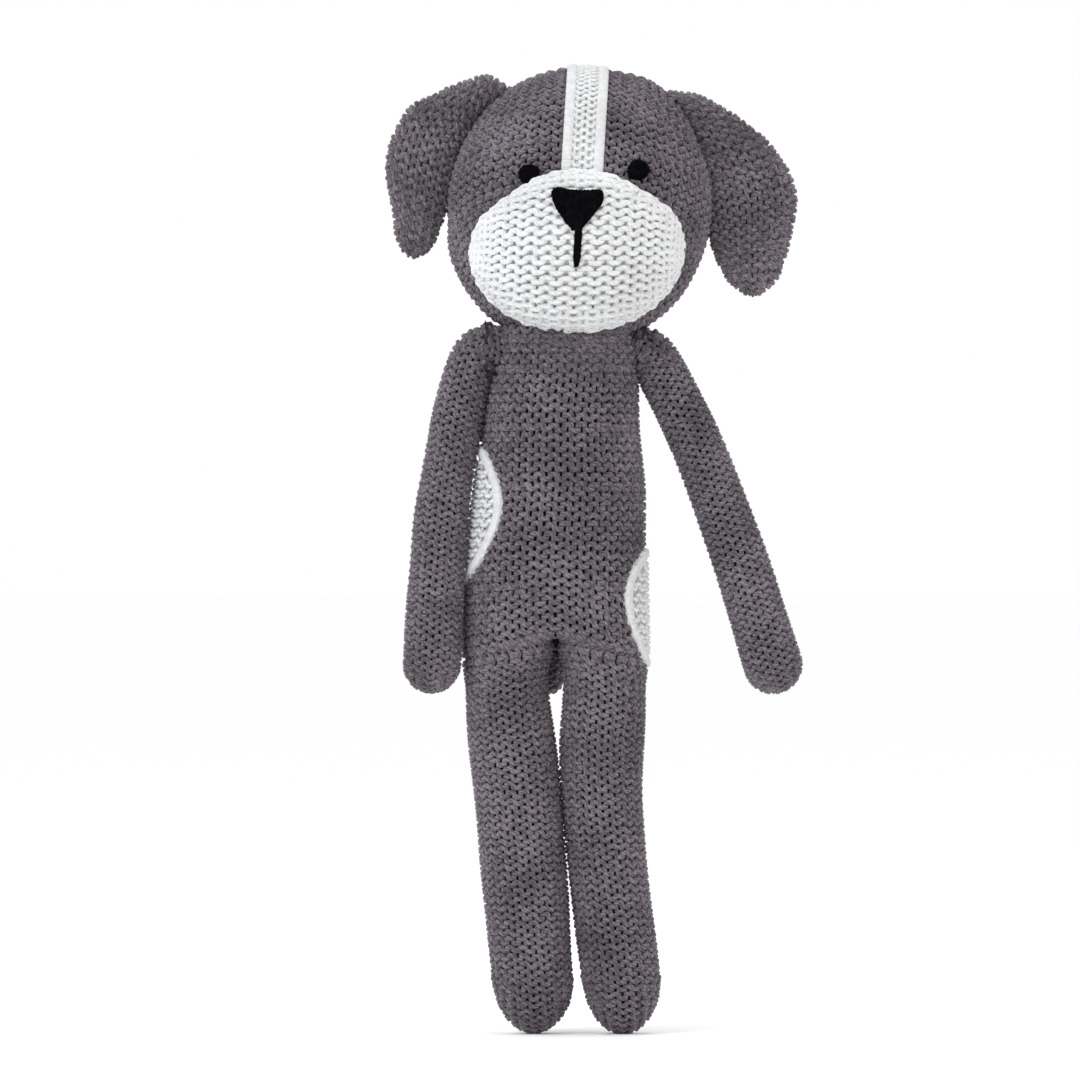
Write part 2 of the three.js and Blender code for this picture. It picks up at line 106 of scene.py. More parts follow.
EAR_OUTER = {  # x and z in the head frame, from the root to the tip, along the edge away from the head
    "right": [(-30.6, 113.5), (-37.9, 117.4), (-41.8, 117.2), (-46.4, 115.1), (-53.3, 112.1), (-59.0, 109.0),
              (-65.9, 105.5), (-70.5, 101.3), (-74.2, 93.9), (-76.5, 85.9), (-76.7, 76.9), (-75.5, 69.5),
              (-73.3, 60.6), (-72.0, 52.0), (-68.9, 45.9)],
    "left": [(35.4, 115.6), (43.7, 114.9), (49.3, 112.5), (55.0, 109.3), (60.7, 106.5), (66.5, 102.7),
             (72.2, 98.6), (78.1, 92.3), (82.5, 85.4), (85.1, 77.3), (85.0, 70.3), (83.6, 60.7),
             (81.8, 51.2), (78.8, 42.7), (73.6, 37.5)],
}
EAR_INNER = {  # and along the edge beside it
    "right": [(-32.6, 108.3), (-36.8, 105.7), (-39.8, 103.1), (-41.9, 100.2), (-44.1, 97.0), (-46.2, 93.3),
              (-48.0, 89.7), (-49.3, 86.0), (-50.6, 80.4), (-50.9, 73.3), (-51.6, 65.8), (-53.1, 57.9),
              (-55.4, 50.6), (-58.7, 45.7), (-63.2, 43.1)],
    "left": [(35.2, 111.7), (39.0, 108.3), (41.9, 105.0), (44.6, 100.8), (46.8, 95.8), (48.3, 91.2),
             (49.6, 86.2), (50.7, 80.3), (51.4, 74.5), (51.7, 67.4), (52.2, 60.0), (53.2, 53.0),
             (56.1, 46.9), (60.4, 40.8), (66.2, 37.0)],
}
EAR_DEPTH, EAR_Y = 6.4, -2.0
EAR_TUCK = {"left": [4.6, 4.8, 3.0], "right": [1.8, 2.4, 1.8]}
TAIL_ROOT, TAIL_TIP = np.array([-4, 31.9, 166.0]), np.array([-6.5, 40.5, 138.5])
PATCHES = {"left": (0.0, 169.2, 20.4, 21.6), "right": (-0.5, 204.3, 21.6, 27.0)}  # y, z, half sizes
PATCH_BORDER = 3.4
GAUGE = {  # row height and stitch width of each knit
    "trunk": (3.85, 5.6), "leg": (3.25, 5.8), "arm": (3.05, 5.4), "neck": (3.7, 5.4), "head": (3.75, 5.15),
    "ear": (3.95, 4.7), "tail": (3.2, 5.0), "muzzle": (4.1, 7.7), "patch": (3.8, 5.2), "blaze": (3.3, 4.7),
}
YARN = {"leg": 0.98, "arm": 0.95, "ear": 1.08, "tail": 1.1, "muzzle": 1.2, "patch": 0.98}  # radii
LOOP, OVERHANG = 0.75, 0.17  # a loop's reach in row heights, its lean in stitch widths

# ---------------------------------------------------------------- small maths
def unit(v):
    return v / np.maximum(np.linalg.norm(v, axis=-1, keepdims=True), 1e-9)


def eased(x, xs, ys, reach=6.0):
    """A table read with its corners rounded off."""
    steps = np.linspace(-reach, reach, 9)
    return np.mean([np.interp(x + s, xs, ys) for s in steps], axis=0)


def smooth(t):
    t = np.clip(t, 0, 1)
    return t * t * (3 - 2 * t)


def spline(points, n):
    """A smooth curve through points (Catmull-Rom), n samples."""
    p = np.array(points, float)
    p = np.vstack([2 * p[0] - p[1], p, 2 * p[-1] - p[-2]])
    t = np.linspace(0, len(p) - 3 - 1e-6, n)
    i = t.astype(int)
    f = (t - i)[:, None]
    a, b, c, d = p[i], p[i + 1], p[i + 2], p[i + 3]
    return 0.5 * (2 * b + (c - a) * f + (2 * a - 5 * b + 4 * c - d) * f**2 + (3 * b - a - 3 * c + d) * f**3)


def lumps(p, size):
    """Gentle unevenness of the filling, from -1 to 1."""
    q = p / size
    return (np.sin(q[..., 0] * 1.7 + 1.3 * np.sin(q[..., 2])) * np.cos(q[..., 1] * 1.3 + 0.7 * q[..., 2])
            + 0.5 * np.sin(q[..., 2] * 2.3 + q[..., 0] + 2 * np.cos(q[..., 1]))) / 1.5


def from_head(p):
    """Head-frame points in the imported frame."""
    p = np.asarray(p, float)
    c, s = math.cos(HEAD_TILT), math.sin(HEAD_TILT)
    x = p[..., 0] * c + p[..., 2] * s
    z = -p[..., 0] * s + p[..., 2] * c
    return np.stack([x, p[..., 1], z], axis=-1) + NECK


# ---------------------------------------------------------------- meshes
class Cloth:
    """Quads gathered from many yarns, then made into one object."""

    def __init__(self):
        self.verts, self.quads, self.uvs, self.slots, self.count = [], [], [], [], 0

    def add(self, verts, quads, uv=None, slot=0):
        self.verts.append(verts)
        self.quads.append(quads + self.count)
        self.uvs.append(np.zeros((len(quads), 4, 2)) if uv is None else uv)
        self.slots.append(np.full(len(quads), slot))
        self.count += len(verts)

    def yarn(self, points, normals, radius, sides=6, closed=False, slot=0):
        """A tube along points, whose section stands square to the cloth's normal."""
        n = len(points)
        if closed:
            tangent = np.roll(points, -1, 0) - np.roll(points, 1, 0)
        else:
            tangent = np.gradient(points, axis=0)
        side = unit(np.cross(unit(tangent), normals))
        up = np.cross(side, unit(tangent))
        angle = 2 * np.pi * np.arange(sides) / sides
        radius = np.broadcast_to(radius, n)[:, None, None]
        ring = np.cos(angle)[None, :, None] * side[:, None] + np.sin(angle)[None, :, None] * up[:, None]
        verts = (points[:, None] + radius * ring).reshape(-1, 3)
        last = n if closed else n - 1
        i = np.repeat(np.arange(last), sides)
        j = np.tile(np.arange(sides), last)
        i1, j1 = (i + 1) % n, (j + 1) % sides
        quads = np.stack([i * sides + j, i1 * sides + j, i1 * sides + j1, i * sides + j1], 1)
        steps = np.linalg.norm(np.roll(points, -1, 0) - points, axis=1)
        s = np.concatenate([[0], np.cumsum(steps)]) * 0.1
        u0, u1, v0, v1 = s[i], s[i + 1], j / sides, (j + 1) / sides
        uv = np.stack([np.stack([u0, v0], 1), np.stack([u1, v0], 1), np.stack([u1, v1], 1),
                       np.stack([u0, v1], 1)], 1)
        if not closed:
            k = np.arange(1, sides - 1, 2)
            first = np.stack([k * 0, (k + 2) % sides, k + 1, k], 1)
            end = np.stack([k * 0, k, k + 1, (k + 2) % sides], 1) + (n - 1) * sides
            caps = np.vstack([first, end])
            caps = caps[[len(set(c)) == 4 for c in caps]]
            quads = np.vstack([quads, caps])
            uv = np.concatenate([uv, np.zeros((len(caps), 4, 2))])
        self.add(verts, quads, uv, slot)

    def shell(self, rings, slot=0):
        """A closed body of rings (M, K, 3), K even, with its ends fanned shut."""
        m, k = rings.shape[:2]
        verts = np.vstack([rings.reshape(-1, 3), rings[0].mean(0), rings[-1].mean(0)])
        i = np.repeat(np.arange(m - 1), k)
        j = np.tile(np.arange(k), m - 1)
        j1 = (j + 1) % k
        quads = np.stack([i * k + j, i * k + j1, (i + 1) * k + j1, (i + 1) * k + j], 1)
        fan = np.arange(0, k, 2)
        f1, f2 = (fan + 1) % k, (fan + 2) % k
        top = np.stack([np.full_like(fan, m * k), f2, f1, fan], 1)
        base = (m - 1) * k
        bottom = np.stack([np.full_like(fan, m * k + 1), base + fan, base + f1, base + f2], 1)
        quads = np.vstack([quads, top, bottom])
        centre = verts.mean(0)
        a, b, c = verts[quads[:, 0]], verts[quads[:, 1]], verts[quads[:, 2]]
        volume = np.einsum("ij,ij->i", a - centre, np.cross(b - centre, c - centre)).sum()
        if volume < 0:
            quads = quads[:, ::-1]
        self.add(verts, quads, None, slot)

    def make(self, name, materials):
        verts = np.vstack(self.verts) * MM
        quads = np.vstack(self.quads)
        mesh = bpy.data.meshes.new(name)
        mesh.vertices.add(len(verts))
        mesh.vertices.foreach_set("co", verts.astype(np.float32).ravel())
        mesh.loops.add(quads.size)
        mesh.loops.foreach_set("vertex_index", quads.astype(np.int32).ravel())
        mesh.polygons.add(len(quads))
        mesh.polygons.foreach_set("loop_start", np.arange(0, quads.size, 4, dtype=np.int32))
        mesh.polygons.foreach_set("material_index", np.concatenate(self.slots).astype(np.int32))
        mesh.polygons.foreach_set("use_smooth", np.ones(len(quads), bool))
        layer = mesh.uv_layers.new(name="Yarn")
        layer.data.foreach_set("uv", np.concatenate(self.uvs).astype(np.float32).ravel())
        mesh.update(calc_edges=True)
        mesh.validate()
        for material in materials:
            mesh.materials.append(material)
        obj = bpy.data.objects.new(name, mesh)
        bpy.context.scene.collection.objects.link(obj)
        return obj


# ---------------------------------------------------------------- a skin of rings, and the knit on it
RING = 192


class Skin:
    """A smooth closed-round surface given by rings; rows of knitting run round it."""

    sign = 1.0

    def __init__(self, rings, along=None):
        self.rings = np.array([self.even(r) for r in rings])
        steps = np.linalg.norm(np.diff(self.rings, axis=0), axis=2).mean(1)
        self.along = np.concatenate([[0], np.cumsum(steps)]) if along is None else along
        self.girth = np.linalg.norm(np.roll(self.rings, -1, 1) - self.rings, axis=2).sum(1)
        p, n = self.frame(np.full(RING, self.along[-1] / 2), np.arange(RING) / RING)
        if np.einsum("ij,ij->i", n, p - p.mean(0)).sum() < 0:
            self.sign = -1.0

    @staticmethod
    def even(ring):
        """The ring's points spread evenly by length."""
        closed = np.vstack([ring, ring[:1]])
        s = np.concatenate([[0], np.cumsum(np.linalg.norm(np.diff(closed, axis=0), axis=1))])
        t = np.linspace(0, s[-1], RING, endpoint=False)
        return np.stack([np.interp(t, s, closed[:, k]) for k in range(3)], 1)

    def at(self, along, around):
        """Points at a length along the skin and a share of the way round it."""
        m = np.interp(along, self.along, np.arange(len(self.along)))
        i = np.clip(m.astype(int), 0, len(self.along) - 2)
        f = (m - i)[:, None]
        k = np.mod(around, 1) * RING
        j = k.astype(int) % RING
        g = (k - np.floor(k))[:, None]
        j1 = (j + 1) % RING
        r = self.rings
        return (1 - f) * ((1 - g) * r[i, j] + g * r[i, j1]) + f * ((1 - g) * r[i + 1, j] + g * r[i + 1, j1])

    def frame(self, along, around):
        """Those points with their outward normals."""
        e, c = 1.0, 1.6 / RING
        p = self.at(along, around)
        lengthwise = self.at(along + e, around) - self.at(along - e, around)
        roundwise = self.at(along, around + c) - self.at(along, around - c)
        return p, unit(np.cross(roundwise, lengthwise)) * self.sign

    def form(self, inset, spacing=5.0, k=48, start=0.0, end=None):
        """Rings of the filling under the knit."""
        end = self.along[-1] if end is None else end
        rows = np.linspace(start, end, max(4, int((end - start) / spacing)))
        out = []
        for s in rows:
            p, n = self.frame(np.full(k, s), np.arange(k) / k)
            out.append(p + (lumps(p, 16) * 0.4 - inset)[:, None] * n)
        return np.array(out)


def hump(c):
    """A cosine with flatter tops, as a loop's head is broad."""
    return c * (1.3 - 0.3 * c * c)


def knit(cloth, skin, height, width, rng, radius=None, depth=None, first=None, last=None, per_stitch=10,
         sides=6, sunk=None, below=None, cut=None):
    """Rows of purl loops round a skin, the columns in line at its front. Rows past cut go to below."""
    radius = 0.275 * height if radius is None else radius
    depth = 0.65 * radius if depth is None else depth
    total = skin.along[-1]
    first = 0.45 * height if first is None else first
    last = total - 0.4 * height if last is None else last
    rows = max(1, round((last - first) / height))
    height = (last - first) / rows
    count = 0
    for s in first + height * np.arange(rows + 1):
        girth = np.interp(s, skin.along, skin.girth)
        wanted = girth / width
        if abs(wanted - count) > 0.03 * wanted + 0.7:
            count = max(5, int(round(wanted)))
        n = count * per_stitch
        stitch = np.arange(n) / per_stitch - count / 2
        u = 2 * np.pi * stitch
        each = rng.normal(0, 1, (3, count + 1))
        each[:, -1] = each[:, 0]
        wobble = [np.interp(stitch + count / 2, np.arange(count + 1), e) for e in each]
        tight = girth / count / width
        around = 0.5 + (stitch + OVERHANG * np.sin(2 * u) + 0.03 * wobble[0]) / count
        reach = LOOP * height * (1 + 0.06 * wobble[1])
        along = s + reach * hump(np.cos(u)) + 0.10 * np.sin(3 * u / count + s) + 0.05 * height * wobble[2]
        p, normal = skin.frame(along, around)
        out = depth * np.cos(2 * u) - (depth + 0.75 * radius) + 0.4 * lumps(p, 16)
        if sunk is not None:
            out = out - sunk(p)
        thick = radius * (0.97 + 0.06 * np.cos(2 * u)) * min(1.0, 0.75 + 0.25 * tight)
        target = below if cut is not None and s > cut else cloth
        target.yarn(p + out[:, None] * normal, normal, thick, sides, closed=True)


def satin(cloth, path, side, normal, half, rise, pitch, thread, rng, closed=False, slant=0.0, slot=0):
    """Close stitches laid across a path: each thread dives in at one edge and out at the other."""
    path = np.vstack([path, path[:1]]) if closed else path
    side = np.vstack([side, side[:1]]) if closed else side
    normal = np.vstack([normal, normal[:1]]) if closed else normal
    s = np.concatenate([[0], np.cumsum(np.linalg.norm(np.diff(path, axis=0), axis=1))])
    half = np.interp(s, s, np.broadcast_to(half, len(s)))
    t = np.linspace(-1, 1, 9)
    for k in range(int(s[-1] / pitch)):
        here = (k + 0.5) * pitch
        at = here + slant * t + rng.normal(0, 0.04)
        at = np.mod(at, s[-1]) if closed else np.clip(at, 0, s[-1])
        c = np.stack([np.interp(at, s, path[:, i]) for i in range(3)], 1)
        a = unit(np.stack([np.interp(at, s, side[:, i]) for i in range(3)], 1))
        n = unit(np.stack([np.interp(at, s, normal[:, i]) for i in range(3)], 1))
        w = np.interp(at, s, half) * (1 + rng.normal(0, 0.02))
        lift = rise * np.sqrt(np.maximum(0, 1 - t**2)) - 0.8 * np.abs(t)**6 + rng.normal(0, 0.05)
        cloth.yarn(c + a * (w * np.sin(np.pi / 2 * t))[:, None] + n * lift[:, None], n, thread, 6, slot=slot)


# ---------------------------------------------------------------- materials
def node(tree, kind, **sockets):
    made = tree.nodes.new(kind)
    for name, value in sockets.items():
        made.inputs[name.replace("_", " ")].default_value = value
    return made


def math_node(tree, operation, a, b=None):
    made = tree.nodes.new("ShaderNodeMath")
    made.operation = operation
    for i, value in enumerate((a, b)):
        if value is None:
            continue
        if isinstance(value, (int, float)):
            made.inputs[i].default_value = value
        else:
            tree.links.new(value, made.inputs[i])
    return made.outputs[0]


FLECK_SHARE = 0.62  # of the colour that the fine flecks set, against the slow drift


def yarn_material(name, dark, mid, light, rough=0.92, sheen=0.2, ply=5.0, ply_depth_and_shade=0.5, fuzz=0.6,
                  specular=0.2):
    """Heathered yarn: flecks of fibre, slow colour drift, fuzz, and plies that wind round the strand, in the
    bump and as painted shade and highlight in the colour.
    """
    material = bpy.data.materials.new(name)
    material.use_nodes = True
    tree = material.node_tree
    link = tree.links.new
    shader = tree.nodes["Principled BSDF"]
    shader.inputs["Roughness"].default_value = rough
    shader.inputs["Sheen Weight"].default_value = sheen
    shader.inputs["Sheen Roughness"].default_value = 0.6
    shader.inputs["Specular IOR Level"].default_value = specular
    place = tree.nodes.new("ShaderNodeTexCoord").outputs["Object"]
    fleck = node(tree, "ShaderNodeTexNoise", Scale=420.0, Detail=3.0, Roughness=0.65)
    drift = node(tree, "ShaderNodeTexNoise", Scale=38.0, Detail=2.0)
    fibre = node(tree, "ShaderNodeTexNoise", Scale=1900.0, Detail=2.0, Roughness=0.7)
    for texture in (fleck, drift, fibre):
        link(place, texture.inputs["Vector"])
    uv = tree.nodes.new("ShaderNodeUVMap")
    uv.uv_map = "Yarn"
    parts = tree.nodes.new("ShaderNodeSeparateXYZ")
    link(uv.outputs["UV"], parts.inputs[0])
    turn = math_node(tree, "MULTIPLY", parts.outputs["X"], 2 * math.pi * ply)
    strand = math_node(tree, "MULTIPLY", parts.outputs["Y"], 2 * math.pi * 3)
    wave = math_node(tree, "SINE", math_node(tree, "ADD", turn, strand))
    plies = math_node(tree, "MULTIPLY", math_node(tree, "ADD", wave, 1.0), 0.5)
    mixed = math_node(tree, "ADD", math_node(tree, "MULTIPLY", fleck.outputs["Fac"], FLECK_SHARE),
                      math_node(tree, "MULTIPLY", drift.outputs["Fac"], 1 - FLECK_SHARE))
    # The ply wave is added to the colour as painted shade in the grooves between plies and painted highlight
    # on their crowns.
    tone_and_ply_shade = math_node(tree, "ADD", mixed, math_node(tree, "MULTIPLY", plies, ply_depth_and_shade * 0.3))
    ramp = tree.nodes.new("ShaderNodeValToRGB")
    stops = ramp.color_ramp.elements
    stops[0].position, stops[0].color = 0.36, (*dark, 1)
    stops[1].position, stops[1].color = 0.72, (*light, 1)
    stops.new(0.54).color = (*mid, 1)
    link(tone_and_ply_shade, ramp.inputs["Fac"])
    link(ramp.outputs["Color"], shader.inputs["Base Color"])
    height = math_node(tree, "ADD", math_node(tree, "MULTIPLY", plies, ply_depth_and_shade),
                       math_node(tree, "MULTIPLY", fibre.outputs["Fac"], fuzz))
    bump = node(tree, "ShaderNodeBump", Strength=0.6, Distance=0.00025)
    link(height, bump.inputs["Height"])
    link(bump.outputs["Normal"], shader.inputs["Normal"])
    return material


GREY = yarn_material("grey_yarn", (0.030, 0.0235, 0.0305), (0.074, 0.060, 0.073), (0.178, 0.154, 0.178))
WHITE = yarn_material("white_yarn", (0.48, 0.478, 0.475), (0.59, 0.592, 0.592), (0.70, 0.705, 0.71))
SATIN = yarn_material("white_embroidery", (0.50, 0.50, 0.50), (0.59, 0.59, 0.59), (0.68, 0.68, 0.68),
                      rough=0.7, ply=9.0, ply_depth_and_shade=0.2)
BLACK = yarn_material("black_embroidery", (0.001, 0.001, 0.0015), (0.002, 0.002, 0.0025),
                      (0.006, 0.006, 0.007), rough=0.8, sheen=0.0, ply=9.0, ply_depth_and_shade=0.2, specular=0.02)
# The backing seen through the grey knit's gaps: its dark grey is painted shade in the holes, darker than the
# filling it stands for.
GREY_SHADE_BACKING = yarn_material("grey_backing_painted_shade", (0.018, 0.014, 0.018), (0.030, 0.025, 0.030),
                          (0.046, 0.039, 0.046), sheen=0.0)
# The backing seen through the white knit's gaps: white like the filling, and lighter than the yarn as painted
# light that lifts the shade in the holes.
WHITE_BACKING_PAINTED_LIGHT = yarn_material("white_backing_painted_light", (0.66, 0.66, 0.65), (0.74, 0.74, 0.73), (0.80, 0.80, 0.79),
                           sheen=0.0)


def finish_piece(cloth, name, materials, nodes, body=None):
    """Makes the object, hides the parts that it replaces, and hangs it from its body, if it has one."""
    obj = cloth.make(name, materials)
    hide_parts(*nodes)
    if body:
        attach(obj, body)
    return obj


def place(p):
    """A point of the CAD source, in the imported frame, in metres."""
    return tuple((np.array(p, float) + SHIFT) * MM)


# ---------------------------------------------------------------- trunk
def trunk_ring(z, k=240):
    """An oval that parts into the tops of two legs at the crotch, and goes on a little below it."""
    drop, z = min(0.0, z - CROTCH_Z), max(z, CROTCH_Z)
    half_w = eased(z, TRUNK[:, 0], TRUNK[:, 1])
    half_d = eased(z, TRUNK[:, 0], TRUNK[:, 2])
    x = eased(z, TRUNK[:, 0], TRUNK[:, 3])
    theta = np.pi / 2 + 2 * np.pi * np.arange(k) / k  # the seam runs down the back
    c, s = np.cos(theta), np.sin(theta)
    lobes = 0.97 * np.sqrt(np.maximum(0, 1 - (2 * np.abs(c) - 1) ** 2))
    widened = np.where(np.abs(c) > 0.5, lobes, 0.97)
    wide = smooth((186 - z) / (186 - CROTCH_Z))
    y = (1 - wide) * np.abs(s) + wide * widened
    valley = 0.08 * smooth((VALLEY_TOP - z) / (VALLEY_TOP - CROTCH_Z)) * np.exp(-(c / 0.25) ** 2)
    parted = 0.96 * smooth((156 - z) / (156 - CROTCH_Z))
    cusp = parted * np.maximum(0, y - lobes) * (np.abs(c) < 0.5)
    y = half_d * (y - np.maximum(valley, cusp)) * np.sign(s)
    roof = ROOF * smooth((200 - z) / (200 - CROTCH_Z)) * (0.5 - np.sqrt(c * c + 0.002))
    return np.stack([x + half_w * c, y, z + drop + roof], 1) + SHIFT


trunk_heights = np.arange(TRUNK_TOP, CROTCH_Z - OVERRUN - 0.1, -1.0)
trunk = Skin([trunk_ring(z) for z in trunk_heights], TRUNK_TOP - trunk_heights)


def patch_inside(p, side, spread=0.0):
    """Below 1 inside a side patch's oval."""
    y, z, w, h = PATCHES[side]
    q = p - SHIFT
    outward = (q[..., 0] - CROTCH_X) * (1 if side == "left" else -1)
    r = np.hypot((q[..., 1] - y) / (w + spread), (q[..., 2] - z) / (h + spread))
    return np.where(outward > 8, r, 9.0)


def trunk_sunk(p):
    inside = np.minimum(patch_inside(p, "left"), patch_inside(p, "right"))
    return 1.9 * smooth((1.02 - inside) / 0.12)


rng = np.random.default_rng(3)
cloth = Cloth()
knit(cloth, trunk, *GAUGE["trunk"], rng, sunk=trunk_sunk, last=TRUNK_TOP - CROTCH_Z - SEAM)
cloth.shell(trunk.form(3.9, end=TRUNK_TOP - CROTCH_Z), 1)
finish_piece(cloth, "trunk", [GREY, GREY_SHADE_BACKING], ["torso_cover", "torso_stuffing"], "torso")

# ---------------------------------------------------------------- legs
def leg_ring(side, z, k=180):
    """Round in the leg, and at the crotch the lobe that the trunk ends in."""
    drop, z = max(0.0, z - CROTCH_Z), min(z, CROTCH_Z)
    column = 1 if side == "left" else 3
    centre = eased(z, LEG_TABLE[:, 0], LEG_TABLE[:, column])
    radius = eased(z, LEG_TABLE[:, 0], LEG_TABLE[:, column + 1])
    lobe = CROTCH_X + (LOBE_X if side == "left" else -LOBE_X)
    top = smooth((z - DEEPEN_Z) / (CROTCH_Z - DEEPEN_Z))
    parting = smooth((z - PART_Z) / (CROTCH_Z - PART_Z))
    x = (1 - parting) * centre + parting * lobe
    half_w = (1 - parting) * radius + parting * LOBE_W
    half_d = (1 - top) * radius + top * LOBE_D
    if z < TOE_H:
        shrink = math.sqrt(max(0.0, 1 - ((TOE_H - z) / TOE_H) ** 2))
        half_w, half_d = half_w * shrink + 0.3, half_d * shrink + 0.3
    theta = np.pi / 2 + 2 * np.pi * np.arange(k) / k
    inward = -np.cos(theta) if side == "left" else np.cos(theta)
    slope = ROOF / 2 * smooth((z - SLOPE_Z) / (CROTCH_Z - SLOPE_Z))
    ring = [x + half_w * np.cos(theta), half_d * np.sin(theta), z + drop + slope * inward]
    return np.stack(ring, 1) + SHIFT


def leg_heights():
    """Ring heights that close in on the toe."""
    straight = np.arange(CROTCH_Z + OVERRUN, TOE_H, -1.0)
    round_end = TOE_H - TOE_H * np.sin(np.linspace(0, np.pi / 2, 26))
    return np.concatenate([straight, round_end])


for side in ("left", "right"):
    skin = Skin([leg_ring(side, z) for z in leg_heights()])
    rng = np.random.default_rng(11 if side == "left" else 12)
    cut = CROTCH_Z + OVERRUN - LEG_SPLIT
    upper, lower = Cloth(), Cloth()
    knit(upper, skin, *GAUGE["leg"], rng, radius=YARN["leg"], first=OVERRUN + SEAM, below=lower, cut=cut)
    upper.shell(skin.form(3.4, start=OVERRUN - 2, end=cut + PIECE_OVERLAP), 1)
    lower.shell(skin.form(3.4, start=cut - PIECE_OVERLAP), 1)
    thigh = finish_piece(upper, f"thigh_{side}", [GREY, GREY_SHADE_BACKING],
                         [f"leg_{side}_upper_cover", f"leg_{side}_upper_stuffing"])
    x = LEG_JOINTS[side][0]
    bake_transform(thigh)
    shin = finish_piece(lower, f"shin_{side}", [GREY, GREY_SHADE_BACKING],
                        [f"leg_{side}_lower_cover", f"leg_{side}_lower_stuffing"])
    x = LEG_JOINTS[side][1]
    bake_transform(shin)

# ---------------------------------------------------------------- arms
def tube_rings(curve, radii, k=120):
    """Rings square to a curve, rounded at the ends."""
    tangent = unit(np.gradient(curve, axis=0))
    back = np.array([0.0, 1.0, 0.0])
    across = unit(np.cross(tangent, back))
    depth = np.cross(across, tangent)
    length = np.concatenate([[0], np.cumsum(np.linalg.norm(np.diff(curve, axis=0), axis=1))])
    r = radii
    for from_end in (length, length[-1] - length):
        close = np.clip(1 - from_end / radii, 0, 1)
        r = r * np.sqrt(np.maximum(0.0004, 1 - close**2))
    theta = np.pi / 2 + 2 * np.pi * np.arange(k) / k
    c, s = np.cos(theta)[None, :, None], np.sin(theta)[None, :, None]
    return curve[:, None] + r[:, None, None] * (c * across[:, None] + s * depth[:, None])


def dense_ends(curve, radius, n=24):
    """Adds samples near both ends so that the domes are round."""
    length = np.concatenate([[0], np.cumsum(np.linalg.norm(np.diff(curve, axis=0), axis=1))])
    total = length[-1]
    near = radius * (1 - np.cos(np.linspace(0, np.pi / 2, n)))
    middle = np.arange(radius + 1.5, total - radius - 1.5, 1.5)
    at = np.concatenate([near, middle, total - near[::-1]])
    return np.stack([np.interp(at, length, curve[:, k]) for k in range(3)], 1), at / total


for side in ("left", "right"):
    shoulder, elbow, hand = (np.array(p, float) for p in ARMS[side])
    inward = 1 if side == "right" else -1
    tip = hand + unit(hand - elbow) * ARM_R[3]
    root = shoulder + np.array([ARM_ROOT[side][0] * inward, 0, ARM_ROOT[side][1]])
    curve = spline([root, shoulder + [10.0 * inward, 0, 6.6], shoulder, elbow, hand, tip], 260) + SHIFT
    curve, share = dense_ends(curve, 10.5)
    skin = Skin(tube_rings(curve, np.interp(share, ARM_STOPS, ARM_R)))
    rng = np.random.default_rng(21 if side == "left" else 22)
    cloth = Cloth()
    knit(cloth, skin, *GAUGE["arm"], rng, radius=YARN["arm"])
    cloth.shell(skin.form(3.3, k=32), 1)
    names = [f"arm_{side}_{part}" for part in
             ("upper_cover", "upper_stuffing", "lower_cover", "lower_stuffing")]
    arm = finish_piece(cloth, f"arm_{side}", [GREY, GREY_SHADE_BACKING], names)
    up, down = unit(shoulder - elbow), unit(hand - elbow)
    along = unit(down - up)
    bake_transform(arm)

    turn = 2 * np.pi * np.arange(60) / 60
    circle = np.stack([np.cos(turn), np.sin(turn), 0 * turn], 1)
    middle = np.array([-WAD[0] * inward, 0, WAD[1]]) + SHIFT
    ball = [middle + WAD_R * (math.cos(a) * np.array([0, 0, 1]) + math.sin(a) * circle)
            for a in np.linspace(0.03, 3.11, 20)]
    cloth = Cloth()
    skin = Skin(ball)
    knit(cloth, skin, *GAUGE["arm"], rng, radius=YARN["arm"])
    cloth.shell(skin.form(3.3, k=24), 1)
    finish_piece(cloth, f"shoulder_{side}", [GREY, GREY_SHADE_BACKING], [f"shoulder_{side}_wad"],
                 f"shoulder_{side}")

# ---------------------------------------------------------------- neck
neck_rings = []
t = np.pi / 2 + 2 * np.pi * np.arange(160) / 160
for z in np.arange(NECK_TOP, 255, -1.0):
    r = NECK_R * math.sqrt(max(0.02, 1 - ((z - NECK_ROUND) / 22) ** 2)) if z > NECK_ROUND else NECK_R
    neck_rings.append(np.stack([NECK_X + r * np.cos(t), 0.92 * r * np.sin(t), np.full(160, z)], 1) + SHIFT)
skin = Skin(neck_rings)
cloth = Cloth()
knit(cloth, skin, *GAUGE["neck"], np.random.default_rng(31))
cloth.shell(skin.form(3.8), 1)
finish_piece(cloth, "neck", [GREY, GREY_SHADE_BACKING], ["neck_stuffing"], "neck")

# ---------------------------------------------------------------- head
def fullness(d):
    """How far the filling swells the head in a direction: its right cheek, and the left of its crown."""
    cheek = CHEEK * smooth((-0.12 - d[..., 2]) / 0.3) * smooth((-0.35 - d[..., 0]) / 0.3)
    crown = CROWN * smooth((d[..., 2] - 0.45) / 0.35) * smooth((d[..., 0] - 0.15) / 0.35)
    return cheek * np.exp(-(d[..., 1] / 0.5) ** 2) + crown * np.exp(-(d[..., 1] / 0.6) ** 2)


def head_point(unit_dir):
    return np.array([0, 0, HEAD_CENTRE]) + unit_dir * (HEAD_HALF + fullness(unit_dir)[..., None])


def head_ring(psi, k=240):
    """A ring round the tilted axis that the head's rows run about."""
    t = np.pi / 2 + 2 * np.pi * np.arange(k) / k
    d = np.stack([math.sin(psi) * np.cos(t), math.sin(psi) * np.sin(t), np.full(k, math.cos(psi))], 1)
    c, s = math.cos(ROW_TILT), math.sin(ROW_TILT)
    d = np.stack([d[:, 0], c * d[:, 1] + s * d[:, 2], -s * d[:, 1] + c * d[:, 2]], 1)
    return from_head(head_point(d))


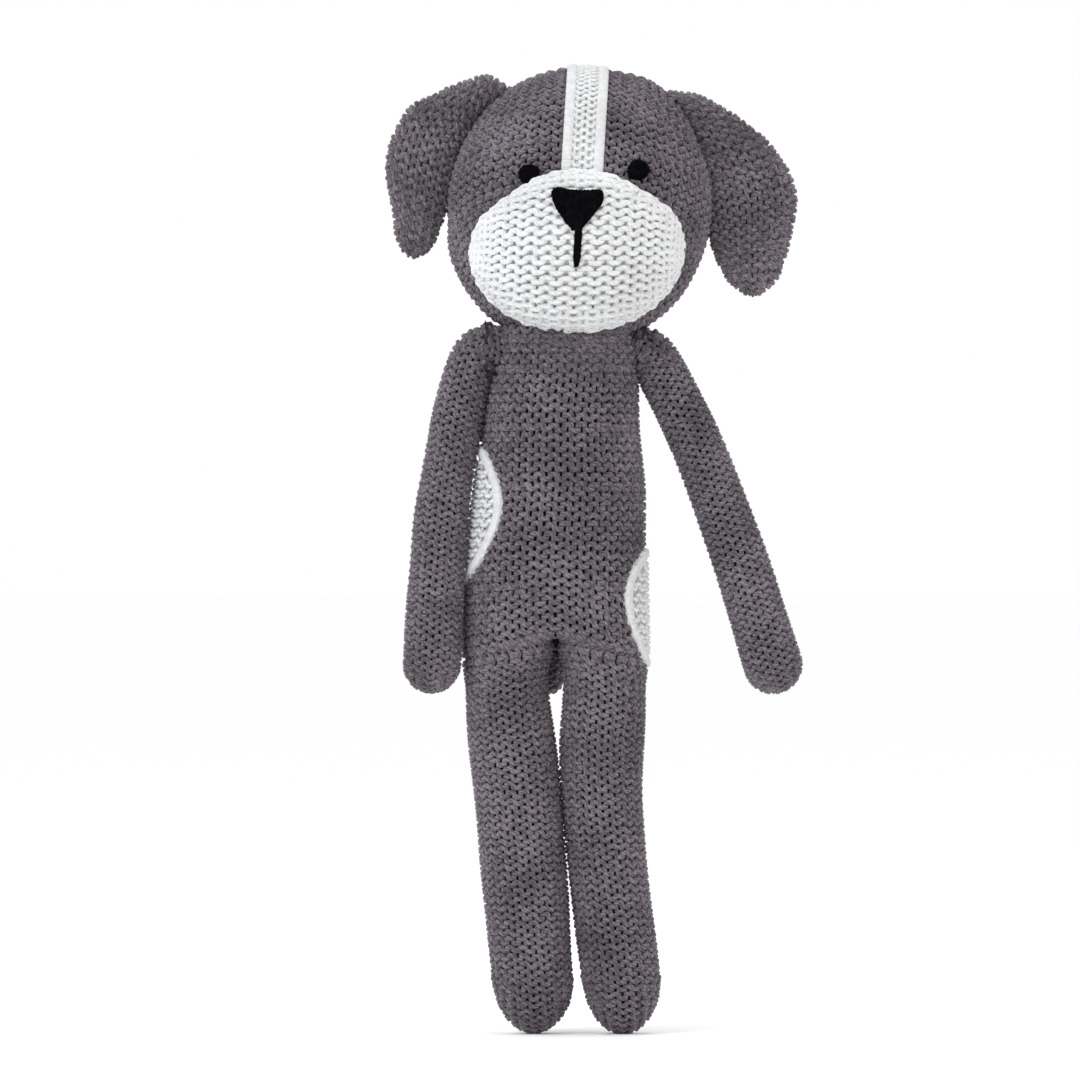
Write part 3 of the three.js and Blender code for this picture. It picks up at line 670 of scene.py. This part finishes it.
def face_y(x, z):
    """How far forward the head reaches over a place on the face."""
    full = 0.0
    for _ in range(4):
        across, up = x / (HEAD_HALF[0] + full), (z - HEAD_CENTRE) / (HEAD_HALF[2] + full)
        out = np.sqrt(np.maximum(0.02, 1 - across**2 - up**2))
        full = fullness(np.stack([across, -out, up], -1))
    return -(HEAD_HALF[1] + full) * out


def to_head(p):
    q = p - NECK
    c, s = math.cos(HEAD_TILT), math.sin(HEAD_TILT)
    return np.stack([q[..., 0] * c - q[..., 2] * s, q[..., 1], q[..., 0] * s + q[..., 2] * c], -1)


def muzzle_egg(up):
    """How much narrower the muzzle is at a height: 1 below, more towards its top."""
    return 1 + MUZZLE_EGG * smooth((up - 0.4) / 0.45)


def muzzle_radius(x, z):
    """1 on the muzzle's oval edge, which is sewn on a little askew."""
    c, s = math.cos(MUZZLE_TURN), math.sin(MUZZLE_TURN)
    z = z - MUZZLE_Z
    across, up = (x * c + z * s) / MUZZLE_W, (z * c - x * s) / MUZZLE_H
    return np.hypot(across * muzzle_egg(up), up)


def muzzle_edge(r, a):
    """A place round the oval, at a share r of its size."""
    c, s = math.cos(MUZZLE_TURN), math.sin(MUZZLE_TURN)
    up = r * np.sin(a)
    x, z = MUZZLE_W * r * np.cos(a) / muzzle_egg(up), MUZZLE_H * up
    return x * c - z * s, MUZZLE_Z + x * s + z * c


def head_sunk(p):
    """How far the head's yarn lies sunk under the strip and the muzzle sewn over it."""
    q = to_head(p)
    blaze = smooth((BLAZE_W + BLAZE_BORDER - 0.3 - np.abs(q[..., 0])) / 1.2)
    blaze = blaze * (q[..., 1] < 11) * (q[..., 2] > 78)
    r = muzzle_radius(q[..., 0], q[..., 2])
    muzzle = smooth((0.995 - r) / 0.035) * (q[..., 1] < 0)
    return np.maximum(1.7 * blaze, 2.4 * muzzle)


head = Skin([head_ring(psi) for psi in np.linspace(0.02, np.pi - 0.3, 150)])
cloth = Cloth()
knit(cloth, head, *GAUGE["head"], np.random.default_rng(41), sides=5, sunk=head_sunk)
cloth.shell(head.form(3.9, spacing=4.0), 1)
finish_piece(cloth, "head", [GREY, GREY_SHADE_BACKING], ["head_cover", "head_stuffing"], "head")


def muzzle_surface(x, z, lift=0.0):
    """The muzzle's dome in the head frame: proud of the face, turned under at its edge."""
    r = muzzle_radius(x, z)
    bulge = MUZZLE_BULGE * np.maximum(0, 1 - r * r) ** 0.62
    tuck = MUZZLE_PROUD * smooth((1.035 - r) / 0.09) - 2.6 * smooth((r - 0.99) / 0.05)
    below = smooth(((MUZZLE_Z - z) / MUZZLE_H - 0.55) / 0.4)
    crease = 1.3 * below * np.exp(-((x - 1.0) / 1.6) ** 2)
    return np.stack([x, face_y(x, z) - bulge - tuck - lift + crease, z], -1)


def surface_frame(fn, x, z, lift):
    """Points on a height surface with outward normals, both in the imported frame."""
    e = 0.6
    p = fn(x, z, 0.0)
    dx = fn(x + e, z, 0.0) - fn(x - e, z, 0.0)
    dz = fn(x, z + e, 0.0) - fn(x, z - e, 0.0)
    n = unit(np.cross(dx, dz))
    lift = np.broadcast_to(lift, x.shape)[..., None]
    flat = from_head(p + n * lift)
    return flat, unit(from_head(p + n) - from_head(p))


def edge_flat(x, z):
    """1 on the open muzzle, falling to 0 where the knit is drawn tight at its edge."""
    return 1 - smooth((muzzle_radius(x, z) - 0.74) / 0.24)


def muzzle_row(x, z_row):
    """Rows bow apart over the fullness in the middle."""
    rise = 38.0 * np.sin((z_row - MUZZLE_MID) / 38.0)
    return MUZZLE_MID + rise * (1 - 0.36 * (x / MUZZLE_W) ** 2) + 0.06 * x


def muzzle_knit(cloth, height, width, radius, depth, rng, per_stitch=16):
    """Rows across the muzzle, flatter towards its edge, and one strand round its rim."""
    columns = np.arange(-MUZZLE_COLUMNS, MUZZLE_COLUMNS, 1 / per_stitch)
    ends = np.arange(-MUZZLE_COLUMNS, MUZZLE_COLUMNS + 1)
    for row in range(-12, 12):
        u = 2 * np.pi * columns
        x = MUZZLE_W * np.sin(np.clip(width * (columns + OVERHANG * np.sin(2 * u)) / MUZZLE_W, -1.57, 1.57))
        z_row = MUZZLE_MID + (row + 0.5) * height
        r = muzzle_radius(x, muzzle_row(x, z_row))
        keep = (r < MUZZLE_RIM) & (np.abs(columns) * width < 1.45 * MUZZLE_W)
        wobble = np.interp(columns, ends, rng.normal(0, 1, len(ends)))
        if keep.sum() < 3 * per_stitch:
            continue
        x, r, u, wobble = x[keep], r[keep], u[keep], wobble[keep]
        open_knit = 1 - smooth((r - 0.72) / 0.24)
        reach = LOOP * height * (1 + 0.05 * wobble) * (0.45 + 0.55 * open_knit)
        z = muzzle_row(x, z_row - reach * hump(np.cos(u)))
        lift = open_knit * depth * (np.cos(2 * u) - 1) - 0.7 * radius - 0.4 * (1 - open_knit)
        p, normal = surface_frame(muzzle_surface, x, z, lift)
        cloth.yarn(p, normal, radius, 8)
    a = 2 * np.pi * np.arange(500) / 500
    x, z = muzzle_edge(MUZZLE_RIM + 0.006 * np.sin(53 * a), a)
    p, normal = surface_frame(muzzle_surface, x, z, -1.1 + 0.3 * np.sin(29 * a))
    cloth.yarn(p, normal, radius * (1 + 0.08 * np.sin(47 * a + 1)), 8, closed=True)


cloth = Cloth()
muzzle_knit(cloth, *GAUGE["muzzle"], YARN["muzzle"], MUZZLE_DEPTH, np.random.default_rng(51))
radii = np.concatenate([np.linspace(0.04, 0.92, 18), [0.95, MUZZLE_RIM, 1.0, 1.02]])
t = 2 * np.pi * np.arange(96) / 96
front, back = [], []
for r in radii:
    x, z = muzzle_edge(r, t)
    front.append(surface_frame(muzzle_surface, x, z, -2.5 + 1.4 * (1 - edge_flat(x, z)))[0])
    q = np.stack([x * 0.98, face_y(x, z) + 3.6, z], -1)
    back.append(from_head(q))
cloth.shell(np.array(front + back[::-1]), 1)
finish_piece(cloth, "muzzle", [WHITE, WHITE_BACKING_PAINTED_LIGHT], ["muzzle_cover", "muzzle_stuffing"], "head")

# ---------------------------------------------------------------- blaze and its borders
def blaze_frame(x, angle, lift):
    """On the head over x and the angle up from straight ahead."""
    k = np.sqrt(1 - (x / HEAD_HALF[0]) ** 2)
    p = np.stack([x, -HEAD_HALF[1] * k * np.cos(angle), HEAD_CENTRE + HEAD_HALF[2] * k * np.sin(angle)], -1)
    n = unit((p - [0, 0, HEAD_CENTRE]) / HEAD_HALF**2)
    lift = np.broadcast_to(lift, np.shape(x))[..., None]
    return from_head(p + n * lift), unit(from_head(p + n) - from_head(p))


cloth = Cloth()
rng = np.random.default_rng(61)
row, stitch = GAUGE["blaze"]
step = row / 51.5  # as an angle, at the head's mean radius
for k in range(int((BLAZE_TO - BLAZE_FROM) / step)):
    x = np.linspace(-BLAZE_W - 1.6, BLAZE_W + 1.6, 56)
    u = 2 * np.pi * x / stitch + np.pi
    angle = BLAZE_FROM + (k + 0.5) * step - LOOP * step * hump(np.cos(u)) * (1 + 0.05 * rng.normal())
    p, normal = blaze_frame(x + 0.45 * np.sin(2 * u), angle + 0 * x, 0.5 * np.cos(2 * u) - 0.45 - 0.02 * x**2)
    cloth.yarn(p, normal, 0.85, 6)
rings = []
for angle in np.linspace(BLAZE_FROM, BLAZE_TO, 40):
    x = np.concatenate([np.linspace(-8.2, 8.2, 9), np.linspace(8.2, -8.2, 9)])
    lift = np.concatenate([np.full(9, -1.3), np.full(9, -2.4)])
    rings.append(blaze_frame(x, np.full(18, angle), lift)[0])
cloth.shell(np.array(rings), 1)
finish_piece(cloth, "blaze_knit", [WHITE, WHITE_BACKING_PAINTED_LIGHT], ["blaze"], "head")

for side, sign in (("left", 1), ("right", -1)):
    angle = np.linspace(BLAZE_FROM, BLAZE_TO, 120)
    x = np.full(120, sign * (BLAZE_W + BLAZE_BORDER / 2))
    p, normal = blaze_frame(x, angle, -0.6)
    q, _ = blaze_frame(x + 0.5, angle, -0.6)
    cloth = Cloth()
    rng = np.random.default_rng(62 + sign)
    satin(cloth, p, unit(q - p), normal, BLAZE_BORDER / 2 + 0.2, 1.2, 0.5, 0.36, rng)
    finish_piece(cloth, f"blaze_stitching_{side}", [SATIN], [f"blaze_border_{side}"], "head")

# ---------------------------------------------------------------- nose, mouth and eyes
def filled(cloth, fn, outline, rise, pitch, thread, rng, tilt=0.0):
    """Satin stitches that fill an outline (x, z) points, laid upright, domed over the cloth."""
    c, s = math.cos(tilt), math.sin(tilt)
    centre = outline.mean(0)
    flat = (outline - centre) @ np.array([[c, s], [-s, c]])
    x_lo, x_hi = flat[:, 0].min(), flat[:, 0].max()
    closed = np.vstack([flat, flat[:1]])
    for x in np.arange(x_lo + pitch / 2, x_hi, pitch):
        a, b = closed[:-1], closed[1:]
        hit = (a[:, 0] - x) * (b[:, 0] - x) <= 0
        hit &= a[:, 0] != b[:, 0]
        share = (x - a[hit, 0]) / (b[hit, 0] - a[hit, 0])
        zs = a[hit, 1] + share * (b[hit, 1] - a[hit, 1])
        if len(zs) < 2:
            continue
        bottom, top = zs.min() - abs(rng.normal(0, 0.25)), zs.max() + abs(rng.normal(0, 0.2))
        t = np.linspace(-1, 1, 11)
        z = (top + bottom) / 2 + (top - bottom) / 2 * np.sin(np.pi / 2 * t)
        xx = x + rng.normal(0, 0.06) + 0 * t
        off_centre = (x - (x_lo + x_hi) / 2) / ((x_hi - x_lo) / 2 + 0.2)
        edge = min(1.0, math.sqrt(max(0.0, 1 - off_centre**2)) + 0.25)
        lift = rise * edge * np.sqrt(np.maximum(0, 1 - t**4)) - 0.9 * np.abs(t) ** 8 + rng.normal(0, 0.05)
        world = np.stack([xx, z], 1) @ np.array([[c, -s], [s, c]]) + centre
        p, normal = surface_frame(fn, world[:, 0], world[:, 1], lift)
        cloth.yarn(p, normal, thread, 6)


def head_surface(x, z, lift=0.0):
    return np.stack([x, face_y(x, z) - lift, z], -1)


def nose_outline():
    """A broad top that dips a little in its middle, and sides that run in to the mouth line."""
    down = np.array([0, 0.03, 0.12, 0.28, 0.5, 0.7, 0.85, 0.95, 1.0])
    wide = np.array([0.76, 0.93, 1.0, 0.96, 0.77, 0.54, 0.35, 0.2, 0.12])
    t = np.linspace(0, 1, 60)
    half = NOSE_W * np.interp(t, down, wide)
    z = NOSE_Z + NOSE_H * (1 - 2 * t)
    top = np.linspace(-0.78, 0.78, 24)[1:-1]
    dip = np.stack([NOSE_W * top, NOSE_Z + NOSE_H + 0.5 * top**2 * 2.4 - 0.6], 1)
    right, left = np.stack([half, z], 1), np.stack([-half, z], 1)[::-1]
    return np.vstack([right, left, dip]) + [NOSE_X, 0]


cloth = Cloth()
nose_middle = np.array([NOSE_X, NOSE_Z])
padding = (nose_outline() - nose_middle) * 0.9 + nose_middle
filled(cloth, muzzle_surface, nose_outline(), 1.5, 0.42, 0.34, np.random.default_rng(71))
filled(cloth, muzzle_surface, padding, 1.0, 0.6, 0.5, np.random.default_rng(72))
finish_piece(cloth, "nose_stitching", [BLACK], ["nose"], "head")

z = np.linspace(MOUTH_BOTTOM, MOUTH_TOP, 60)
x = np.zeros(60)
p, normal = surface_frame(muzzle_surface, x, z, 0.0)
q, _ = surface_frame(muzzle_surface, x + 0.5, z, 0.0)
half = MOUTH_W * np.clip(0.55 + (z - MOUTH_BOTTOM) / 7, 0.4, 1.0)
cloth = Cloth()
satin(cloth, p, unit(q - p), normal, half, 0.9, 0.42, 0.33, np.random.default_rng(73), slant=0.7)
finish_piece(cloth, "mouth_stitching", [BLACK], ["mouth"], "head")

a = 2 * np.pi * np.arange(60) / 60
for side, (x, z) in EYES.items():
    outline = np.stack([x + EYE_W * np.cos(a), z + EYE_H * np.sin(a)], 1)
    inner = np.stack([x + 0.85 * EYE_W * np.cos(a), z + 0.85 * EYE_H * np.sin(a)], 1)
    cloth = Cloth()
    rng = np.random.default_rng(81 if side == "left" else 82)
    filled(cloth, head_surface, outline, 1.5, 0.45, 0.36, rng, tilt=0.5 if side == "left" else -0.4)
    filled(cloth, head_surface, inner, 0.9, 0.6, 0.5, rng, tilt=1.3)
    finish_piece(cloth, f"eye_stitching_{side}", [BLACK], [f"eye_{side}"], "head")

# ---------------------------------------------------------------- ears
for side in ("left", "right"):
    outer, inner = (spline([(x, EAR_Y, z) for x, z in table[side]], 150) for table in (EAR_OUTER, EAR_INNER))
    along = np.linspace(0, 1, 150)
    inner[:, 0] -= np.sign(inner[:, 0]) * np.interp(along, [0, 0.15, 0.6, 0.8], EAR_TUCK[side] + [0])
    inner[:, 1] += np.interp(along, [0, 0.2, 0.7, 0.9], [1, 3.0, 3.0, 0])
    middle, across = (outer + inner) / 2, (outer - inner) / 2
    root = unit(middle[0] - middle[3])
    lead = np.linspace(4, 0.4, 8)[:, None]
    middle = np.vstack([middle[0] + root * lead, middle, middle[-1] + unit(middle[-1] - middle[-4]) * 0.8])
    across = np.vstack([across[0] * (1 - 0.8 * (lead / 4) ** 2), across, across[-1] * 0.1])
    puff = np.interp(along, [0, 0.12, 0.5, 0.85, 1], [0.75, 0.95, 1, 0.95, 0.45])
    puff = np.concatenate([0.75 * (1 - 0.8 * (lead[:, 0] / 4) ** 2), puff, [0.08]])
    a = 2 * np.pi * np.arange(180) / 180 + np.pi / 2
    c, s = np.cos(a)[None, :, None], np.sin(a)[None, :, None]
    flat = np.sign(s) * np.abs(s) ** 0.8
    rings = middle[:, None] + c * across[:, None] + EAR_DEPTH * puff[:, None, None] * flat * [0, 1, 0]
    skin = Skin(from_head(rings))
    cloth = Cloth()
    rng = np.random.default_rng(91 if side == "left" else 92)
    knit(cloth, skin, *GAUGE["ear"], rng, radius=YARN["ear"])
    cloth.shell(skin.form(3.3, spacing=4.0, k=40), 1)
    finish_piece(cloth, f"ear_{side}", [GREY, GREY_SHADE_BACKING],
                 [f"ear_{side}_cover", f"ear_{side}_padding"], f"ear_{side}")

# ---------------------------------------------------------------- tail
way = unit(TAIL_TIP - TAIL_ROOT)
curve = spline([TAIL_ROOT + [0, -4.0, 4.5], TAIL_ROOT + [0, 1.5, 0], (TAIL_ROOT + TAIL_TIP) / 2 + [0, 1.2, 0],
                TAIL_TIP, TAIL_TIP + way * 5.8], 120) + SHIFT
curve, share = dense_ends(curve, 6.0)
skin = Skin(tube_rings(curve, np.interp(share, [0, 0.5, 1], [6.8, 6.6, 6.0])))
cloth = Cloth()
knit(cloth, skin, *GAUGE["tail"], np.random.default_rng(101), radius=YARN["tail"])
cloth.shell(skin.form(3.5, spacing=3, k=24), 1)
finish_piece(cloth, "tail", [GREY, GREY_SHADE_BACKING], ["tail_cover", "tail_stuffing"], "tail")

# ---------------------------------------------------------------- side patches
def patch_point(side, dy, dz, lift):
    """A place on the trunk's side, at dy and dz from the patch's middle."""
    y, z, _, _ = PATCHES[side]
    sign = 1 if side == "left" else -1
    along = np.interp(z + dz, trunk_heights[::-1], trunk.along[::-1])
    i = np.interp(along, trunk.along, np.arange(len(trunk.along))).astype(int)
    around = np.array([np.interp(yy * sign, side_y[side][m], side_k[side][m]) for yy, m in zip(y + dy, i)])
    p, n = trunk.frame(along, around)
    return p + np.broadcast_to(lift, along.shape)[:, None] * n, n


# on each trunk ring, the share of the way round for each y, on either side
side_y, side_k = {"left": [], "right": []}, {"left": [], "right": []}
for side, sign in (("left", 1), ("right", -1)):
    for ring in trunk.rings:
        q = ring - SHIFT
        good = (q[:, 0] - CROTCH_X) * sign > 10
        yy, kk = q[good, 1] * sign, np.arange(RING)[good] / RING
        order = np.argsort(yy)
        side_y[side].append(yy[order])
        side_k[side].append(kk[order])

for side in ("left", "right"):
    _, _, w, h = PATCHES[side]
    w_in, h_in = w - PATCH_BORDER * 0.6, h - PATCH_BORDER * 0.6
    rng = np.random.default_rng(111 if side == "left" else 112)
    cloth = Cloth()
    row, stitch = GAUGE["patch"]
    for k in range(-12, 13):
        dz = (k + 0.5) * row
        if abs(dz) > h_in - 0.5:
            continue
        reach = w_in * math.sqrt(1 - (dz / h_in) ** 2)
        n = max(8, int(2 * reach / stitch * 12))
        y = np.linspace(-reach, reach, n)
        u = 2 * np.pi * y / stitch
        y = y + OVERHANG * stitch * np.sin(2 * u)
        p, normal = patch_point(side, y, dz - LOOP * row * hump(np.cos(u)), 0.8 * np.cos(2 * u) - 0.7)
        cloth.yarn(p, normal, YARN["patch"], 6)
    shares = (0.03, 0.25, 0.5, 0.75, 0.92, 1.0)
    a = 2 * np.pi * np.arange(36) / 36
    rings = [patch_point(side, w_in * r * np.cos(a), h_in * r * np.sin(a), lift)[0]
             for lift, out in ((-2.0, shares), (-3.2, shares[::-1])) for r in out]
    cloth.shell(np.array(rings), 1)
    finish_piece(cloth, f"patch_{side}", [WHITE, WHITE_BACKING_PAINTED_LIGHT], [f"hip_patch_{side}"], "torso")
    a = 2 * np.pi * np.arange(160) / 160
    wm, hm = w - PATCH_BORDER / 2, h - PATCH_BORDER / 2
    p, normal = patch_point(side, wm * np.cos(a), hm * np.sin(a), -0.7)
    q, _ = patch_point(side, (wm + 1) * np.cos(a), (hm + 1) * np.sin(a), -0.7)
    cloth = Cloth()
    satin(cloth, p, unit(q - p), normal, PATCH_BORDER / 2, 1.3, 0.55, 0.38, rng, closed=True)
    finish_piece(cloth, f"patch_stitching_{side}", [SATIN], [f"hip_patch_border_{side}"],
                 "torso")

# ---------------------------------------------------------------- camera, lights and floor
DISTANCE, VIEW_WIDTH, SENSOR = 4.0, 0.424, 36.0
CAMERA_X, CAMERA_Z = -0.0221, 0.1938
data = bpy.data.cameras.new("camera")
data.sensor_width = SENSOR
data.lens = SENSOR * DISTANCE / VIEW_WIDTH
camera = bpy.data.objects.new("camera", data)
bpy.context.scene.collection.objects.link(camera)
camera.location = (CAMERA_X, -DISTANCE + SHIFT[1] * MM, CAMERA_Z)
camera.rotation_euler = (math.pi / 2, 0, 0)
bpy.context.scene.camera = camera
bpy.context.scene.view_settings.view_transform = "Standard"

LIGHT_AIM = Vector((0, 0, 0.2))


def area_light(name, power, size, location, colour):
    light = bpy.data.lights.new(name, "AREA")
    light.energy, light.size, light.color = power, size, colour
    obj = bpy.data.objects.new(name, light)
    bpy.context.scene.collection.objects.link(obj)
    obj.location = location
    obj.rotation_euler = (LIGHT_AIM - Vector(location)).to_track_quat("-Z", "Y").to_euler()


area_light("key", 16, 0.8, (-1.0, -1.3, 1.1), (0.93, 0.96, 1.0))
area_light("fill", 4, 1.2, (1.3, -1.1, 0.6), (1.0, 0.97, 0.94))
area_light("top", 2.5, 1.0, (0.1, 0.2, 1.5), (1.0, 1.0, 1.0))

world = bpy.data.worlds.new("studio")
world.use_nodes = True
world.node_tree.nodes["Background"].inputs["Color"].default_value = (1, 1, 1, 1)
world.node_tree.nodes["Background"].inputs["Strength"].default_value = 1.0
bpy.context.scene.world = world

FLOOR = 30.0  # half its side
floor_mesh = bpy.data.meshes.new("floor")
floor_mesh.from_pydata([(-FLOOR, -FLOOR, 0), (FLOOR, -FLOOR, 0), (FLOOR, FLOOR, 0), (-FLOOR, FLOOR, 0)], [],
                       [(0, 1, 2, 3)])
floor = bpy.data.objects.new("floor", floor_mesh)
bpy.context.scene.collection.objects.link(floor)
floor_material = bpy.data.materials.new("floor")
floor_material.use_nodes = True
floor_shader = floor_material.node_tree.nodes["Principled BSDF"]
floor_shader.inputs["Base Color"].default_value = (0.99, 0.99, 0.99, 1)
floor_shader.inputs["Roughness"].default_value = 0.9
floor_mesh.materials.append(floor_material)
